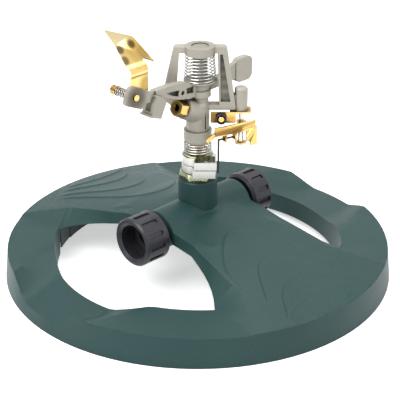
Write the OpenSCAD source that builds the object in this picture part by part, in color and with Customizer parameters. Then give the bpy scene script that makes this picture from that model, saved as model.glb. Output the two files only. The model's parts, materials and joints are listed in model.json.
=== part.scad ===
// Impulse sprinkler on a round open base: shell, flow-through tee, two hose
// couplings, bearing stack with arc collars, and a part-circle impact head.
// Millimetres, Z up, origin on the riser axis at floor level, water pipe along X.

/* [Base] */
// Base diameter over the skirt at the floor
base_d = 305; // [290:5:330]
// Height of the rim crease above the floor
rim_z = 23.6; // [20:0.2:26]
// Wall thickness of the moulded shell
shell_t = 2.6; // [2.2:0.2:3.2]
// Height of the crown around the riser
crown_z = 53; // [50:1:56]
// Half width of the bridge between the two openings, over the water pipe
band_half = 42; // [40:1:44]
// Depth of the hose dip in the rim on the inlet side
inlet_dip = 14.5; // [8:0.5:15]
// Depth of the hose dip in the rim on the outlet side
outlet_dip = 9; // [6:0.5:15]

/* [Water path] */
// Height of the water pipe axis above the floor
pipe_z = 44; // [42:1:45]
// Outer radius of the water pipe
pipe_r = 14; // [13:0.5:14]
// Top of the riser above the floor
riser_top = 77.4; // [75:0.2:80]
// Outer radius of the hose couplings
coupling_r = 19; // [18:0.5:20]
// Radius of the female hose thread, garden hose size
hose_r = 13.6; // [13.4:0.1:13.8]

/* [Head] */
// Angle of the bridge about the riser axis in the rest pose
head_rest = -44; // [-60:1:-30]
// Rise of the water jet above level
jet_rise = 22; // [20:1:24]
// Bore radius of the nozzle
jet_r = 2; // [1.5:0.25:2.5]
// Distance from the riser axis to the fulcrum pin
pin_x = 1.7; // [0:0.1:2]
// Wire radius of the arm return spring
arm_wire = 0.45; // [0.35:0.05:0.6]

/* [Fits] */
// Radial clearance of every turning fit
running = 0.05; // [0.03:0.01:0.08]
// Gap left between faces that pass one another
pass_gap = 0.1; // [0.05:0.05:0.2]

/* [Finish] */
// Moulded shell and tee colour
shell_colour = "#446060"; // [#446060, #3d5a4a, #4a5568]
// Coupling and cap colour
coupling_colour = "#2a2a2e"; // [#2a2a2e, #3a3a3a]
// Cast body and arm colour
cast_colour = "#b4afa3"; // [#b4afa3, #9b9b98]

/* [Hidden] */
$fn = 96;
brass_colour = "#d9a94e";
nipple_colour = "#a9b05a";
steel_colour = "#b9bcbf";
dark_colour = "#35363a";
rubber_colour = "#1e1e20";

base_r = base_d / 2;
skirt_run = 2.5;
rim_r = base_r - skirt_run;
ring_top_r = 113.5;
ring_foot_r = 112;
ring_foot_z = 3;
crown_r = 25;
band_straight = 38;
band_flare = 0.15;
ring_flare = 0.48;
ring_flare_y = 97;
saddle_r = pipe_r + 3.2;
saddle_in = pipe_r + 1.1;
saddle_lip = pipe_r + 0.5;
soft = 3;
lip_h = 9;

band_cols = 16;
ring_cols = 40;
rim_radii = [base_r, rim_r, rim_r - 7, rim_r - 16, rim_r - 25, ring_top_r, ring_foot_r];
inner_rows = [94, 87, 78, 68, 58, 48, 38, 30, 24, 20, 17.6, 16, 14, 11.5, 9, 6, 3];
rim_rows = len(rim_radii);
half_rows = rim_rows + len(inner_rows);
last_row = 2 * half_rows;

// Bridge edge: two straight lines outside band_straight, met at a radius by steps.
function edge_x(y) = band_half + band_flare * max(0, y - band_straight)
    + ring_flare * max(0, y - ring_flare_y);
function edge_near(r, y, steps) =
    steps == 0 ? y : edge_near(r, sqrt(r * r - pow(edge_x(y), 2)), steps - 1);
function edge_y(r) = edge_near(r, r * 0.9, 24);
function edge_angle(r) = let (y = edge_y(r)) atan2(y, edge_x(y));

// Top heights: a sloping lobe, a half-round saddle over the pipe, softly joined.
function soft_max(a, b) = (a + b + sqrt(pow(a - b, 2) + soft * soft)) / 2;
function lobe_z(r) =
    rim_z + (crown_z - rim_z) * min(1, (rim_r - r) / (rim_r - crown_r));
function saddle_z(y, r) = pipe_z + (abs(y) < r ? sqrt(r * r - y * y) : 0) - soft / 4;
function top_z(x, y) =
    norm([x, y]) > 60 ? lobe_z(norm([x, y])) : soft_max(lobe_z(norm([x, y])), saddle_z(y, saddle_r));
function under_z(x, y) = min(
    top_z(x, y) - shell_t * 0.75,
    norm([x, y]) > 60 ? lobe_z(norm([x, y])) - shell_t
        : soft_max(lobe_z(norm([x, y])) - shell_t, saddle_z(y, saddle_in)));

// Ring heights: the rim carries a dip for the hose at each end of the pipe.
function dip_shape(t) = abs(t) >= 1 ? 0 : min(1, (1 - abs(t)) / 0.5);
function dip_half(r) = 17 + 17 * (rim_r - r) / (rim_r - ring_foot_r);
function ring_dip(a, r, depth) =
    depth * (1 - 0.2 * (rim_r - r) / (rim_r - ring_foot_r)) * dip_shape((a + 4.5) / dip_half(r));
function ring_z(a, r, depth) =
    rim_z - 1 + 0.04 * (rim_r - r) + cos(a * 1.5) - ring_dip(a, r, depth);

// Row shape across the bridge: arcs at the rim easing into straight rows.
rim_edges = [for (r = rim_radii) edge_y(r)];
function row_y(i) = i < rim_rows ? rim_edges[i] : (i == half_rows ? 0 : inner_rows[i - rim_rows]);
function row_arc(i) =
    i < rim_rows ? 1 : max(0, (row_y(i) - band_straight) / (rim_edges[rim_rows - 1] - band_straight));
function arc_y(i, x) =
    let (ye = row_y(i), xe = edge_x(ye), k = row_arc(i))
    k * sqrt(max(0, xe * xe + ye * ye - x * x)) + (1 - k) * ye;
function mirror_row(i) = i <= half_rows ? i : last_row - i;
function row_sign(i) = i < half_rows ? -1 : 1;

// One point of the bridge skin: row i from -Y rim to +Y rim, u from -1 to 1.
function band_point(i, u, inner) =
    let (m = mirror_row(i), ye = row_y(m), xe = edge_x(ye),
        inset = inner ? shell_t : 0,
        x = u * (xe - inset),
        y0 = arc_y(m, x),
        shrink = inner && m < 2 ? (norm([x, y0]) - shell_t) / norm([x, y0]) : 1)
    m == 0 ? [x * shrink, row_sign(i) * y0 * shrink, 0]
        : m == 1 ? [x * shrink, row_sign(i) * y0 * shrink, inner ? rim_z - shell_t : rim_z]
        : [x, row_sign(i) * y0, inner ? under_z(x, y0) : top_z(x, y0)];

// Flank foot beside the bridge edge, shared by the lips and the ring ends.
function flank_part(y) = max(0, min(1, (y - band_straight) / 58));
function flank_out(y) = 1.2 + 14.8 * flank_part(y) * (0.4 + 0.6 * flank_part(y));
function lip_z(x, y) =
    abs(y) < saddle_lip ? max(pipe_z + sqrt(saddle_lip * saddle_lip - y * y), top_z(x, y) - lip_h)
        : top_z(x, y) - lip_h;
function lip_point(i, side, inner) =
    let (m = mirror_row(i), ye = row_y(m), xe = edge_x(ye), ya = arc_y(m, xe),
        out = flank_out(ye) - (inner ? shell_t : 0))
    m == rim_rows - 1 ? ring_point(side, row_sign(i), 1, m, inner)
        : [side * (xe + out), row_sign(i) * (ya - 0.62 * flank_part(ye) * out), lip_z(xe, ya)];

// One point of a ring end-to-end arc: column k, row j counted in from the rim.
function ring_end(r) = edge_angle(r) - (3 + 16.5 * max(0, (rim_r - r) / (rim_r - ring_foot_r))) / r * 57.3;
ring_ends = [for (r = rim_radii) ring_end(r)];
function ring_angle(k, j, inner) =
    let (e = ring_ends[j] + (inner ? shell_t / rim_radii[j] * 57.3 : 0), mid = ring_ends[j])
    k == 1 ? -e : k == ring_cols - 1 ? e : mid * (2 * (k - 1) / (ring_cols - 2) - 1);
function ring_point(side, ysign, k, j, inner) =
    let (r = rim_radii[j],
        turned = side > 0 ? 0 : 180,
        depth = side > 0 ? outlet_dip : inlet_dip,
        a = ring_angle(ysign * side > 0 ? ring_cols - k : k, j, inner),
        rr = j < 2 ? r - (inner ? shell_t : 0) : j >= rim_rows - 2 ? r + (inner ? shell_t : 0) : r,
        z = j == 0 ? 0
            : j == rim_rows - 1 ? (k == 1 || k == ring_cols - 1 ? ring_z(a, r, depth) - 1.4 : ring_foot_z)
            : (j == 1 && (k <= 1) ? rim_z : ring_z(a, r, depth)) - (inner ? shell_t : 0))
    [rr * cos(a + turned), rr * sin(a + turned), z];

// Index helpers: grids of points joined into triangles.
function grid(start, rows, cols, flip) = [
    for (i = [0:rows - 1], j = [0:cols - 1])
        let (a = start + i * (cols + 1) + j, b = a + 1, c = a + cols + 1, d = c + 1)
        each flip ? [[a, c, b], [b, c, d]] : [[a, b, c], [b, d, c]]];
function strip(rows, flip) = [
    for (i = [0:rows - 1])
        let (a = 2 * i, b = a + 1, c = a + 2, d = a + 3)
        each flip ? [[a, c, b], [b, c, d]] : [[a, b, c], [b, d, c]]];
function shift(faces, by) = [for (f = faces) [f[0] + by, f[1] + by, f[2] + by]];

function band_skin(inner) = [
    for (i = [0:last_row], j = [0:band_cols]) band_point(i, 2 * j / band_cols - 1, inner)];
function ring_skin(side, inner) = [
    for (k = [0:ring_cols], j = [0:rim_rows - 1])
        k == 0 ? band_point(side > 0 ? j : last_row - j, side, inner)
            : k == ring_cols ? band_point(side > 0 ? last_row - j : j, side, inner)
            : ring_point(side, -side, k, j, inner)];
lip_first = rim_rows - 1;
lip_rows = last_row - 2 * lip_first;
function lip_skin(side, inner) = [
    for (i = [0:lip_rows])
        each [band_point(lip_first + i, side, inner), lip_point(lip_first + i, side, inner)]];
function lip_edge(side) = [
    for (i = [0:lip_rows])
        each [lip_point(lip_first + i, side, false), lip_point(lip_first + i, side, true)]];
function ring_edge(side, j) = let (outside = ring_skin(side, false), inside = ring_skin(side, true)) [
    for (k = [j == 0 ? 0 : 1 : ring_cols - (j == 0 ? 0 : 1)])
        each [outside[k * rim_rows + j], inside[k * rim_rows + j]]];
function band_edge(i) = [
    for (j = [0:band_cols])
        each [band_point(i, 2 * j / band_cols - 1, false), band_point(i, 2 * j / band_cols - 1, true)]];

// Patches of the shell, each a list of points with its triangles.
patches = [
    [band_skin(false), grid(0, last_row, band_cols, true)],
    [band_skin(true), grid(0, last_row, band_cols, false)],
    for (side = [-1, 1]) each [
        [ring_skin(side, false), grid(0, ring_cols, rim_rows - 1, false)],
        [ring_skin(side, true), grid(0, ring_cols, rim_rows - 1, true)],
        [lip_skin(side, false), strip(lip_rows, side > 0)],
        [lip_skin(side, true), strip(lip_rows, side < 0)],
        [lip_edge(side), strip(lip_rows, side > 0)],
        [ring_edge(side, 0), strip(ring_cols, true)],
        [ring_edge(side, rim_rows - 1), strip(ring_cols - 2, false)]],
    [band_edge(0), strip(band_cols, true)],
    [band_edge(last_row), strip(band_cols, false)]];
patch_starts = [for (i = 0, s = 0; i < len(patches); s = s + len(patches[i][0]), i = i + 1) s];
shell_points = [for (p = patches) each p[0]];
shell_faces = [for (i = [0:len(patches) - 1]) each shift(patches[i][1], patch_starts[i])];

// Posts under the crown that take the cradle screws.
post_y = 26;
post_r = 4;
cradle_top = 36;
cradle_low = 26.5;
screw_r = 1.6;
riser_r = 15.2;

module shell_skin() {
    polyhedron(points = shell_points, faces = shell_faces, convexity = 8);
}

// Inner ring wall carried on under one lobe, lower beside the flanks.
module lobe_wall(half_angle, top, inset) {
    foot = ring_foot_z + inset;
    rotate([0, 0, 90 - half_angle])
        rotate_extrude(angle = 2 * half_angle)
            translate([ring_foot_r + inset, foot])
                square([shell_t - 2 * inset, top - foot]);
}

module base_shell() {
    color(shell_colour)
    difference() {
        union() {
            shell_skin();
            for (turn = [0, 180]) rotate([0, 0, turn]) {
                lobe_wall(88 - edge_angle(ring_foot_r), lobe_z(ring_foot_r) - 1, 0.4);
                lobe_wall(88 - ring_end(ring_foot_r), rim_z - 1.4, 0.8);
                translate([0, post_y, cradle_top]) cylinder(r = post_r, h = crown_z - cradle_top - 1);
            }
        }
        translate([0, 0, crown_z - 12]) cylinder(r = riser_r + pass_gap, h = 30);
        for (side = [-1, 1])
            translate([0, side * post_y, cradle_top - 1]) cylinder(r = screw_r, h = 11);
    }
}

// ---- Water path ----
tee_end = 44;
spigot_r = 11;
spigot_end = tee_end + 5.5;
pipe_bore = 9;
flange_end = spigot_end + 2.5;
coupling_end = 66;
inlet_end = 69;
coupling_back = tee_end + 1.5;
seat_x = flange_end + 3;
seat_r = 13.2;
nut_wall = 3.4;
male_r = hose_r - 0.4;
male_end = 60;
thread_pitch = 2.2;
socket_r = 10.4;
nipple_low = 67.5;

module along_x(x) {
    translate([x, 0, pipe_z]) rotate([0, 90, 0]) children();
}

module water_tee() {
    color(shell_colour)
    difference() {
        union() {
            along_x(-tee_end) cylinder(r = pipe_r, h = 2 * tee_end);
            along_x(-spigot_end) cylinder(r = spigot_r, h = 10);
            along_x(tee_end - 1) cylinder(r = male_r - 1.2, h = male_end - tee_end + 1);
            for (i = [0:4])
                along_x(male_end - 2.4 - i * thread_pitch)
                    rotate_extrude()
                        polygon([[male_r - 2, 0], [male_r - 1.2, 0], [male_r, 0.6],
                            [male_r, 0.9], [male_r - 1.2, 1.5], [male_r - 2, 1.5]]);
            translate([0, 0, pipe_z]) cylinder(r = riser_r, h = riser_top - pipe_z - 1);
            translate([0, 0, riser_top - 1]) cylinder(r1 = riser_r, r2 = riser_r - 0.8, h = 1);
        }
        along_x(-spigot_end - 1) cylinder(r = pipe_bore, h = spigot_end + male_end + 2);
        translate([0, 0, pipe_z]) cylinder(r = pipe_bore, h = 40);
        translate([0, 0, 62]) cylinder(r = socket_r, h = 20);
    }
}

// Strap under the pipe, screwed to the two posts.
strap_low = cradle_low + 5.5;

module tee_cradle() {
    color(shell_colour)
    difference() {
        union() {
            translate([-9, -18, cradle_low]) cube([18, 36, cradle_top - cradle_low]);
            translate([-6, -post_y, strap_low]) cube([12, 2 * post_y, cradle_top - strap_low]);
            for (side = [-1, 1])
                translate([0, side * post_y, strap_low]) cylinder(r = 6, h = cradle_top - strap_low);
        }
        along_x(-12) cylinder(r = pipe_r, h = 24);
        for (side = [-1, 1])
            translate([0, side * post_y, cradle_low]) cylinder(r = screw_r + 0.3, h = 20);
    }
}

module cradle_screw(side) {
    color(steel_colour)
    translate([0, side * post_y, strap_low]) {
        difference() {
            translate([0, 0, -2]) cylinder(r = 3.2, h = 2);
            translate([0, 0, -2.5]) cylinder(r = 1.6, h = 1.5, $fn = 6);
        }
        translate([0, 0, -0.5]) cylinder(r = screw_r, h = 13.5);
    }
}

// Flanged tube pressed into the tee; its flange keeps the nut on.
module inlet_ferrule() {
    color(coupling_colour)
    difference() {
        union() {
            along_x(-spigot_end) cylinder(r = pipe_bore, h = 14);
            along_x(-flange_end) cylinder(r = 12.8, h = flange_end - spigot_end);
        }
        along_x(-flange_end - 1) cylinder(r = 7, h = 20);
    }
}

module ring_washer(x, outer, inner, h) {
    color(rubber_colour)
    difference() {
        along_x(x) cylinder(r = outer, h = h);
        along_x(x - 1) cylinder(r = inner, h = h + 2);
    }
}

module inlet_washer() ring_washer(-seat_x, seat_r - 0.2, 8, seat_x - flange_end);

// Grip notches, each open towards the mouth and round at the back.
module grip_notches(from, len, count) {
    for (i = [0:count - 1])
        rotate([0, 0, i * 360 / count]) translate([coupling_r - 1.3, 0, from]) {
            translate([0, -1.9, 0]) cube([4, 3.8, len]);
            translate([0, 0, len]) rotate([0, 90, 0]) cylinder(r = 1.9, h = 4, $fn = 24);
        }
}

module inlet_nut() {
    color(coupling_colour)
    along_x(-inlet_end)
    difference() {
        union() {
            cylinder(r1 = coupling_r - 1.2, r2 = coupling_r, h = 1.2);
            translate([0, 0, 1.2]) cylinder(r = coupling_r, h = inlet_end - coupling_back - 3.2);
            translate([0, 0, inlet_end - coupling_back - 2])
                cylinder(r1 = coupling_r, r2 = coupling_r - 2, h = 2);
        }
        grip_notches(3, 12.5, 12);
        translate([0, 0, -1]) cylinder(r = hose_r, h = inlet_end - seat_x + 1);
        translate([0, 0, 1]) cylinder(r = seat_r, h = inlet_end - coupling_back - nut_wall - 1);
        for (i = [0:3])
            translate([0, 0, 2.4 + i * thread_pitch])
                rotate_extrude()
                    polygon([[hose_r - 1, 0], [hose_r + 0.8, 0.5], [hose_r + 0.8, 0.9], [hose_r - 1, 1.4]]);
        translate([0, 0, 10]) cylinder(r = spigot_r + running, h = 20);
        translate([0, 0, -0.01]) cylinder(r1 = coupling_r - 3.2, r2 = hose_r, h = 1.6);
    }
}

module outlet_cap() {
    color(coupling_colour)
    along_x(coupling_back)
    difference() {
        union() {
            cylinder(r1 = coupling_r - 2, r2 = coupling_r, h = 2);
            translate([0, 0, 2]) cylinder(r = coupling_r, h = coupling_end - coupling_back - 3.2);
            translate([0, 0, coupling_end - coupling_back - 1.2])
                cylinder(r1 = coupling_r, r2 = coupling_r - 1.2, h = 1.2);
        }
        translate([0, 0, coupling_end - coupling_back])
            rotate([180, 0, 0]) grip_notches(3, 10, 12);
        translate([0, 0, -1]) cylinder(r = male_r + 0.9, h = male_end + 2.1 - coupling_back + 1);
        translate([0, 0, coupling_end - coupling_back - 0.8]) cylinder(r = 12, h = 2);
    }
}

module cap_washer() ring_washer(male_end + 0.05, male_r - 0.1, 8, 2);

// ---- Bearing stack ----
gasket_h = 0.8;
hex_low = riser_top + gasket_h;
hex_top = hex_low + 5.2;
neck_r = 11.1;
neck_top = 98;
sleeve_r = 6;
sleeve_bore = 4.6;
body_low = 107;
collar_h = 6.4;
collar_low = hex_top + 0.2;
collar_high = collar_low + collar_h + 0.3;
collar_t = 1.2;
tab_reach = 19;

module riser_gasket() {
    color(rubber_colour)
    translate([0, 0, riser_top])
        difference() {
            cylinder(r = riser_r - 0.8, h = gasket_h);
            translate([0, 0, -1]) cylinder(r = socket_r, h = 3);
        }
}

module bearing_nipple() {
    color(nipple_colour)
    head_frame()
    difference() {
        union() {
            translate([0, 0, nipple_low]) cylinder(r = socket_r, h = hex_low - nipple_low + 1);
            intersection() {
                translate([0, 0, hex_low]) cylinder(r = 14.2, h = hex_top - hex_low, $fn = 6);
                translate([0, 0, hex_low]) cylinder(r1 = 14.4, r2 = 13.4, h = hex_top - hex_low);
            }
            translate([0, 0, hex_top - 0.5]) cylinder(r = neck_r, h = neck_top - hex_top + 0.5);
        }
        translate([0, 0, nipple_low - 1]) cylinder(r = sleeve_r + running, h = 40);
    }
}

module thrust_washer() {
    color("#e8e6dc")
    translate([0, 0, nipple_low - 1.4])
        difference() {
            cylinder(r = 8.6, h = 1.4);
            translate([0, 0, -1]) cylinder(r = sleeve_r + running, h = 4);
        }
}

sleeve_low = nipple_low - 1.4 - pass_gap - 2;

module bearing_sleeve() {
    color(brass_colour)
    difference() {
        union() {
            translate([0, 0, sleeve_low]) cylinder(r = 8.6, h = 2);
            translate([0, 0, sleeve_low]) cylinder(r = sleeve_r, h = body_low + 14 - sleeve_low);
        }
        translate([0, 0, sleeve_low - 1]) cylinder(r = sleeve_bore, h = 80);
    }
}

// Arc collar: a spring band whose ends form one squared stop loop.
module arc_collar(z, left, right, grip) {
    color(steel_colour)
    head_frame()
    translate([0, 0, z])
        linear_extrude(collar_h)
            difference() {
                union() {
                    circle(r = neck_r + running + collar_t);
                    translate([left, -tab_reach]) square([right - left, tab_reach]);
                }
                circle(r = neck_r + running);
                translate([left + collar_t, -tab_reach + collar_t])
                    square([right - left - 2 * collar_t, tab_reach - grip]);
            }
}

module collar_lower() arc_collar(collar_low, -4, 13.4, 7);

module collar_upper() arc_collar(collar_high, -3, 14.2, 7);

// Round wire wound as a helix about Z, its ends cut square; top is the radius it tapers to.
module coil(r, wire, turns, low, high, seg = 18, sides = 8, top = 0) {
    steps = ceil(turns * seg);
    ring_at = function(i, s)
        let (a = 360 * turns * i / steps, b = 360 * s / sides,
            taper = top > 0 ? (top - r) * i / steps : 0,
            rr = r + taper + wire * cos(b),
            z = low + wire + (high - low - 2 * wire) * i / steps + wire * sin(b))
        [rr * cos(a), rr * sin(a), z];
    polyhedron(
        points = [for (i = [0:steps], s = [0:sides - 1]) ring_at(i, s)],
        faces = concat(
            [[for (s = [0:sides - 1]) s]],
            [[for (s = [0:sides - 1]) steps * sides + sides - 1 - s]],
            [for (i = [0:steps - 1], s = [0:sides - 1])
                let (a = i * sides + s, b = i * sides + (s + 1) % sides)
                each [[a, a + sides, b], [b, a + sides, b + sides]]]),
        convexity = 6);
}

module bearing_spring() {
    color(steel_colour)
    coil(10.3, 0.6, 3.7, neck_top + pass_gap, body_low - pass_gap, 20);
}

// ---- Head ----
body_r = 8.9;
skirt_r = 10.7;
skirt_top = 117;
base_bar_low = 133.6;
base_bar_top = 137.4;
post_top = 143.3;
bridge_top = 182.4;
bridge_y = 4;
boss_low = 176.3;
boss_top = 182.7;
boss_r = 11.2;
pin_r = 2.5;
front_angle = -135;
jet_z = 131;
trip_x = 32.5;
trip_low = 132.8;
trip_top = 150.3;
trip_pin_r = 1.6;

module head_frame() {
    rotate([0, 0, head_rest]) children();
}

module arm_frame() {
    head_frame() translate([pin_x, 0, 0]) rotate([0, 0, front_angle]) children();
}

module jet_frame() {
    head_frame() translate([0, 0, jet_z]) rotate([0, 0, front_angle])
        rotate([0, 90 - jet_rise, 0]) children();
}

module bridge_outline() {
    difference() {
        hull() {
            translate([-15.3, bridge_top - 3]) circle(r = 3);
            translate([18.9, bridge_top - 3]) circle(r = 3);
            translate([27, base_bar_low + 1.5]) circle(r = 1.5);
            translate([-25, base_bar_low + 10]) circle(r = 1.5);
            translate([-16, base_bar_low + 1.5]) circle(r = 1.5);
        }
        polygon([[-13.6, 177.8], [14.6, 177.8], [15.9, base_bar_top], [-13, base_bar_top], [-16.2, 143]]);
    }
}

module upright(y, t) {
    translate([0, y + t, 0]) rotate([90, 0, 0]) linear_extrude(t) children();
}

module head_body() {
    color(cast_colour)
    difference() {
        union() {
            head_frame() {
                translate([0, 0, body_low]) cylinder(r1 = skirt_r - 0.8, r2 = skirt_r, h = 2);
                translate([0, 0, body_low + 2]) cylinder(r = skirt_r, h = skirt_top - body_low - 2);
                translate([0, 0, skirt_top - 1]) cylinder(r = body_r, h = base_bar_top - skirt_top + 1);
                translate([0, 0, base_bar_top]) cylinder(r1 = body_r, r2 = 7.2, h = 2.6);
                translate([pin_x, 0, base_bar_top]) cylinder(r = 6.4, h = post_top - base_bar_top);
                upright(-bridge_y, 2 * bridge_y) bridge_outline();
                translate([pin_x, 0, boss_low]) cylinder(r = boss_r, h = boss_top - boss_low);
                translate([trip_x, 0, trip_low]) cylinder(r = 5, h = trip_top - trip_low - 1);
                translate([trip_x, 0, trip_top - 1]) cylinder(r1 = 5, r2 = 4.2, h = 1);
                translate([24, -3, trip_low]) cube([trip_x - 24, 6, 12]);
            }
            jet_frame() cylinder(r1 = 9.4, r2 = 7.6, h = 16);
        }
        head_frame() {
            translate([0, 0, body_low - 1]) cylinder(r = sleeve_r, h = 15);
            translate([0, 0, body_low + 10]) cylinder(r = sleeve_bore, h = jet_z - body_low - 8);
            translate([pin_x, 0, post_top - 6]) cylinder(r = pin_r, h = 7);
            translate([pin_x, 0, boss_low - 1]) cylinder(r = pin_r, h = 5);
            translate([pin_x, 0, boss_top - 0.8]) cylinder(r = 6.5, h = 2);
            translate([trip_x, 0, trip_low - 1]) cylinder(r = trip_pin_r, h = 9);
            for (y = [-bridge_y - 1, bridge_y - 2.6]) upright(y, 3.6)
                polygon([[16.4, 177], [18.4, 177], [24.4, 140], [17.2, 140]]);
            translate([5.4, -7.4, 119]) cube([0.7, 3, 13]);
        }
        jet_frame() translate([0, 0, 1]) cylinder(r = 4.2, h = 16);
        jet_frame() translate([0, 0, 10]) cylinder(r = 5, h = 8);
    }
}

// Spinning passage cut for the jet starts inside the body.
module nozzle() {
    color(brass_colour)
    jet_frame()
    difference() {
        union() {
            translate([0, 0, 11]) cylinder(r = 5, h = 6);
            translate([0, 0, 16]) intersection() {
                cylinder(r = 6.7, h = 8.4, $fn = 6);
                cylinder(r1 = 7.6, r2 = 6.2, h = 8.4);
            }
        }
        translate([0, 0, 10]) cylinder(r1 = 4.2, r2 = jet_r, h = 8);
        translate([0, 0, 10]) cylinder(r = jet_r, h = 20);
        translate([0, 0, 23]) cylinder(r1 = jet_r, r2 = jet_r + 1, h = 1.5);
    }
}

module fulcrum_pin() {
    color(steel_colour)
    head_frame() translate([pin_x, 0, post_top - 6]) cylinder(r = pin_r, h = boss_low + 4 - post_top + 6);
}

// ---- Swinging arm ----
hub_low = 144;
hub_top = 155.8;
seat_top = 156.8;
hub_r = 8.2;
bush_r = 5.6;
bush_top = 175.8;
box_at = [44.4, 0, 138.8];
box_tilt = 20;
plate_at = [65.1, 159.7];
plate_tilt = 24;
plate_t = 3;
screw_at = [66, 0, 160.3];

module arm_washer() {
    color(dark_colour)
    head_frame() translate([pin_x, 0, post_top])
        difference() {
            cylinder(r = 6.8, h = hub_low - post_top - pass_gap);
            translate([0, 0, -1]) cylinder(r = pin_r, h = 4);
        }
}

module beam_profile(reach) {
    polygon([[5, 145.4], [13, 145.8], [21, 147], [29, 149.2], [36, 152], [reach, 153.2],
        [reach, 160.6], [34, 160.8], [18, 159.2], [13.2, 157.4], [13, 156.4], [5, 155.9]]);
}

module tail_profile() {
    polygon([[5, 146], [20, 146.4], [38, 148], [38, 161], [20, 154.6], [5, 152]]);
}

module rounded(w, h, r) {
    hull()
        for (x = [-w / 2 + r, w / 2 - r], y = [-h / 2 + r, h / 2 - r])
            translate([x, y]) circle(r = r, $fn = 32);
}

// Frame of the drive vane box: tipped so that it faces the rising jet.
module box_frame() {
    translate(box_at) rotate([0, -box_tilt, 0]) children();
}

module swing_arm() {
    color(cast_colour)
    arm_frame()
    difference() {
        union() {
            translate([0, 0, hub_low]) cylinder(r = hub_r, h = 5);
            translate([0, 0, hub_low]) cylinder(r = 7, h = hub_top - hub_low + 0.5);
            translate([0, 0, hub_top]) cylinder(r = 12.4, h = seat_top - hub_top);
            upright(-3, 6) beam_profile(47.5);
            upright(-plate_t / 2, plate_t) beam_profile(57);
            rotate([0, 0, 180]) {
                upright(-2, 4) tail_profile();
                upright(-2.5, 5) translate([45.5, 153.4]) rounded(18, 19, 5);
            }
            box_frame() {
                upright(-6.5, 11) polygon([[0, 0], [9.9, 0], [9.9, 16.7], [4, 16], [-1.6, 13.4]]);
                translate([9, -6.5, 0]) cube([2.6, 11, 1.6]);
                translate([9, -6.5, 15.2]) cube([2, 11, 1.5]);
            }
            upright(-plate_t / 2, plate_t)
                translate(plate_at) rotate([0, 0, plate_tilt]) rounded(19.5, 14.2, 3);
        }
        translate([0, 0, hub_low - 1]) cylinder(r = bush_r, h = 20);
        for (y = [-4, 0.5]) upright(y, 3.5) {
            polygon([[25.3, 150.3], [32, 152.9], [37.6, 156.2], [32, 155.9], [24.5, 155.1]]);
            polygon([[9.8, 149.2], [16.6, 150.1], [17.2, 154.5], [9.8, 154.3]]);
        }
        upright(-4, 8) translate([20.8, 151.9]) circle(r = 1.7);
        box_frame() {
            translate([-4, -4, 3.7]) cube([16, 5.6, 10.8]);
            translate([-4, -5.1, 2.2]) cube([11.4, 8.2, 12]);
        }
        translate(screw_at) rotate([90, 0, 0]) translate([0, 0, -4]) cylinder(r = 1.6 + running, h = 8);
    }
}

module arm_bushing() {
    color("#8d8f8e")
    arm_frame()
    difference() {
        translate([0, 0, hub_low]) cylinder(r = bush_r, h = bush_top - hub_low);
        translate([0, 0, hub_low - 1]) cylinder(r = pin_r + running, h = 40);
    }
}

module arm_spring() {
    color(steel_colour)
    arm_frame()
    coil(11.9, arm_wire, 7.6, seat_top + pass_gap, boss_low - pass_gap, 20, top = 10.6);
}

// ---- Deflector flap on the arm tip ----
flap_t = 1;
flap_y = -plate_t / 2 - 0.05 - flap_t / 2;
strip_in = 50.9;
strip_out = 67.3;
slope = 130;
panel_y = -15.9;
panel_z = 193.1;
nut_at = 17.4;

// Sheet bent along a path of [y, z] points in the flap's side view.
function path_way(p, i) =
    let (a = p[max(0, i - 1)], b = p[min(len(p) - 1, i + 1)], d = b - a) [-d[1], d[0]] / norm(d);
function bend(a, b, c, d, t) =
    (2 * b + (c - a) * t + (2 * a - 5 * b + 4 * c - d) * t * t + (3 * b - a - 3 * c + d) * t * t * t) / 2;
function bends(p) = [
    for (i = [0:len(p) - 2], k = [0:2])
        bend(p[max(0, i - 1)], p[i], p[i + 1], p[min(len(p) - 1, i + 2)], k / 3),
    p[len(p) - 1]];
module bent_strip(path, width_in, width_out) {
    last = len(path) - 1;
    translate([width_in, 0, 0]) rotate([90, 0, 90])
        linear_extrude(width_out - width_in)
            polygon(concat(
                [for (i = [0:last]) path[i] + path_way(path, i) * flap_t / 2],
                [for (i = [last:-1:0]) path[i] - path_way(path, i) * flap_t / 2]));
}

// Point on the sloping panel, x across and s up the slope from its middle line.
function panel_point(x, s) = [x, panel_y + s * cos(slope), panel_z + s * sin(slope)];

module deflector_flap() {
    color(brass_colour)
    arm_frame()
    difference() {
        union() {
            upright(flap_y - flap_t / 2, flap_t) translate([screw_at[0], screw_at[2]]) circle(r = 6.6);
            bent_strip(bends([[flap_y, 161], [flap_y, 169], [flap_y, 173], [-1.4, 175.6], [-1.5, 177.7],
                [-2.8, 179.6], [-4.9, 181.3], [-7.4, 183.2], [panel_y, panel_z]]), strip_in, strip_out);
            translate([0, panel_y, panel_z]) rotate([slope, 0, 0]) translate([0, 0, -flap_t / 2])
                linear_extrude(flap_t)
                    polygon([[strip_out, -10], [strip_out, 2.3], [52.2, 6.2], [50.2, 5], [48.8, 2.8],
                        [41.9, -17.2], [49, -12.9], [52, -12.2], [52, -10]]);
            hull()
                for (p = [panel_point(strip_out - 0.5, 2.2), panel_point(52.7, 5.9), [60, -36.2, 199.1]])
                    translate(p) cube([1, 0.6, flap_t], center = true);
        }
        translate(screw_at) rotate([90, 0, 0]) translate([0, 0, -4]) cylinder(r = 1.6 + running, h = 10);
    }
}

// Clamp screw through the plate and flap, its head on the nozzle side.
module flap_screw() {
    color(brass_colour)
    arm_frame()
    translate(screw_at) rotate([90, 0, 0]) {
        translate([0, 0, -plate_t / 2 - 1.3]) cylinder(r = 2.4, h = 1.2);
        translate([0, 0, -plate_t / 2 - 1.3]) cylinder(r = 1.6, h = nut_at + 9);
    }
}

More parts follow.
